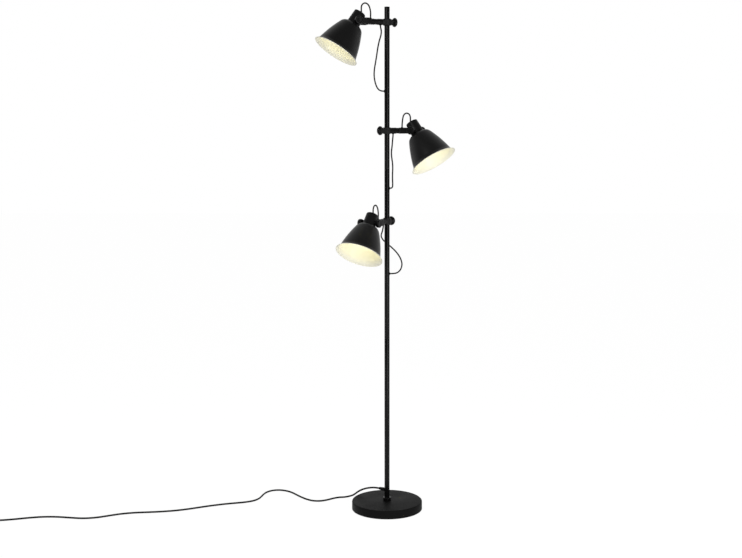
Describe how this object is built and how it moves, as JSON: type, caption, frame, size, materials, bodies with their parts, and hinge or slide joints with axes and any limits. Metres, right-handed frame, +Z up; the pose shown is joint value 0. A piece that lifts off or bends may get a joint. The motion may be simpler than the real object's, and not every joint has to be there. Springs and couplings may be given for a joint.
{
  "type": "tree floor lamp",
  "caption": "Tree floor lamp: bell shades on clamp arms that slide, swivel and tilt on a slim pole over a round weighted base, with a mains cord, foot switch and plug.",
  "frame": {"origin": "centre of the round base's underside, on the floor", "axes": "+Z up along the pole, which stands on the Z axis; the picture looks along +Y with +X to the right; the mains cord runs off towards -X"},
  "size_m": [1.6352, 0.458, 1.5501],
  "materials": {
    "black_paint": "satin black powder coat",
    "grey_paint": "satin dark grey",
    "shade_enamel": "satin black outside, cream white enamel inside",
    "cast_iron": "rough cast",
    "felt": "pressed felt",
    "bare_steel": "zinc plated",
    "plated_metal": "nickel plated",
    "black_plastic": "moulded, satin",
    "button_plastic": "moulded, satin",
    "liner_plastic": "moulded nylon",
    "holder_plastic": "moulded, off white",
    "opal_glass": "opal glass with a plated cap",
    "black_rubber": "moulded rubber",
    "cord_sheath": "smooth sheath"
  },
  "bodies": {
    "stand": {"base_cover": "black_paint", "base_weight": "cast_iron", "base_pad": "felt", "foot_collar": "black_paint", "foot_stud": "bare_steel", "foot_nut": "bare_steel", "foot_washer": "bare_steel", "pole_lower": "black_paint", "pole_middle": "black_paint", "pole_upper": "black_paint", "pole_inserts": "bare_steel", "pole_top_cap": "black_plastic", "pole_grommets": "black_rubber", "cord_bushing": "black_rubber", "lead_splice": "black_plastic", "pole_wiring": "cord_sheath", "mains_cord": "cord_sheath", "mains_coil": "cord_sheath", "coil_tie": "black_plastic", "switch_base": "black_plastic", "switch_cover": "black_plastic", "plug_body": "black_plastic", "plug_pins": "plated_metal"},
    "foot_button": {"switch_button": "button_plastic"},
    "top_carriage": {"top_clamp_liner": "liner_plastic"},
    "top_arm": {"top_clamp_block": "grey_paint", "top_arm_tube": "black_paint", "top_yoke": "black_paint", "top_lead": "cord_sheath"},
    "top_clamp_screw": {"top_clamp_knob": "black_plastic"},
    "top_head": {"top_socket_cup": "black_paint", "top_shade": "shade_enamel", "top_lampholder": "holder_plastic", "top_bulb": "opal_glass"},
    "top_left_screw": {"top_tilt_knob_left": "black_plastic"},
    "top_right_screw": {"top_tilt_knob_right": "black_plastic"},
    "middle_carriage": {"middle_clamp_liner": "liner_plastic"},
    "middle_arm": {"middle_clamp_block": "grey_paint", "middle_arm_tube": "black_paint", "middle_yoke": "black_paint", "middle_lead": "cord_sheath"},
    "middle_clamp_screw": {"middle_clamp_knob": "black_plastic"},
    "middle_head": {"middle_socket_cup": "black_paint", "middle_shade": "shade_enamel", "middle_lampholder": "holder_plastic", "middle_bulb": "opal_glass"},
    "middle_left_screw": {"middle_tilt_knob_left": "black_plastic"},
    "middle_right_screw": {"middle_tilt_knob_right": "black_plastic"},
    "bottom_carriage": {"bottom_clamp_liner": "liner_plastic"},
    "bottom_arm": {"bottom_clamp_block": "grey_paint", "bottom_arm_tube": "black_paint", "bottom_yoke": "black_paint", "bottom_lead": "cord_sheath"},
    "bottom_clamp_screw": {"bottom_clamp_knob": "black_plastic"},
    "bottom_head": {"bottom_socket_cup": "black_paint", "bottom_shade": "shade_enamel", "bottom_lampholder": "holder_plastic", "bottom_bulb": "opal_glass"},
    "bottom_left_screw": {"bottom_tilt_knob_left": "black_plastic"},
    "bottom_right_screw": {"bottom_tilt_knob_right": "black_plastic"}
  },
  "joints": [
    {"name": "foot_button_press", "type": "slide", "parent": "stand", "child": "foot_button", "axis": [0, 0, 1], "range_m": [-0.0025, 0], "stiffness_N_per_m": 400, "springref_m": 0.001},
    {"name": "top_height", "type": "slide", "parent": "stand", "child": "top_carriage", "axis": [0, 0, 1], "range_m": [-0.06, 0.02], "deforming": ["top_lead"]},
    {"name": "top_swivel", "type": "hinge", "parent": "top_carriage", "child": "top_arm", "pos_m": [0, 0, 1.495], "axis": [0, 0, 1], "range_deg": [-90, 90], "deforming": ["top_lead"]},
    {"name": "top_clamp_turn", "type": "hinge", "parent": "top_arm", "child": "top_clamp_screw", "pos_m": [0, 0, 1.495], "axis": [0.9245, 0.3811, 0], "range_deg": [0, 360]},
    {"name": "top_tilt", "type": "hinge", "parent": "top_arm", "child": "top_head", "pos_m": [-0.0943, -0.03887, 1.495], "axis": [0.3811, -0.9245, 0], "range_deg": [-50, 32], "deforming": ["top_lead"]},
    {"name": "top_left_knob_turn", "type": "hinge", "parent": "top_head", "child": "top_left_screw", "pos_m": [-0.0943, -0.03887, 1.495], "axis": [0.3811, -0.9245, 0], "range_deg": [0, 360]},
    {"name": "top_right_knob_turn", "type": "hinge", "parent": "top_head", "child": "top_right_screw", "pos_m": [-0.0943, -0.03887, 1.495], "axis": [-0.3811, 0.9245, 0], "range_deg": [0, 360]},
    {"name": "middle_height", "type": "slide", "parent": "stand", "child": "middle_carriage", "axis": [0, 0, 1], "range_m": [-0.06, 0.02], "deforming": ["middle_lead"]},
    {"name": "middle_swivel", "type": "hinge", "parent": "middle_carriage", "child": "middle_arm", "pos_m": [0, 0, 1.1745], "axis": [0, 0, 1], "range_deg": [-90, 90], "deforming": ["middle_lead"]},
    {"name": "middle_clamp_turn", "type": "hinge", "parent": "middle_arm", "child": "middle_clamp_screw", "pos_m": [0, 0, 1.1745], "axis": [-0.848, 0.5299, 0], "range_deg": [0, 360]},
    {"name": "middle_tilt", "type": "hinge", "parent": "middle_arm", "child": "middle_head", "pos_m": [0.0865, -0.05405, 1.1745], "axis": [0.5299, 0.848, 0], "range_deg": [-50, 32], "deforming": ["middle_lead"]},
    {"name": "middle_left_knob_turn", "type": "hinge", "parent": "middle_head", "child": "middle_left_screw", "pos_m": [0.0865, -0.05405, 1.1745], "axis": [0.5299, 0.848, 0], "range_deg": [0, 360]},
    {"name": "middle_right_knob_turn", "type": "hinge", "parent": "middle_head", "child": "middle_right_screw", "pos_m": [0.0865, -0.05405, 1.1745], "axis": [-0.5299, -0.848, 0], "range_deg": [0, 360]},
    {"name": "bottom_height", "type": "slide", "parent": "stand", "child": "bottom_carriage", "axis": [0, 0, 1], "range_m": [-0.06, 0.02], "deforming": ["bottom_lead"]},
    {"name": "bottom_swivel", "type": "hinge", "parent": "bottom_carriage", "child": "bottom_arm", "pos_m": [0, 0, 0.9015], "axis": [0, 0, 1], "range_deg": [-90, 90], "deforming": ["bottom_lead"]},
    {"name": "bottom_clamp_turn", "type": "hinge", "parent": "bottom_arm", "child": "bottom_clamp_screw", "pos_m": [0, 0, 0.9015], "axis": [0.506, 0.8625, 0], "range_deg": [0, 360]},
    {"name": "bottom_tilt", "type": "hinge", "parent": "bottom_arm", "child": "bottom_head", "pos_m": [-0.05162, -0.08798, 0.9015], "axis": [0.8625, -0.506, 0], "range_deg": [-50, 32], "deforming": ["bottom_lead"]},
    {"name": "bottom_left_knob_turn", "type": "hinge", "parent": "bottom_head", "child": "bottom_left_screw", "pos_m": [-0.05162, -0.08798, 0.9015], "axis": [0.8625, -0.506, 0], "range_deg": [0, 360]},
    {"name": "bottom_right_knob_turn", "type": "hinge", "parent": "bottom_head", "child": "bottom_right_screw", "pos_m": [-0.05162, -0.08798, 0.9015], "axis": [-0.8625, 0.506, 0], "range_deg": [0, 360]}
  ]
}
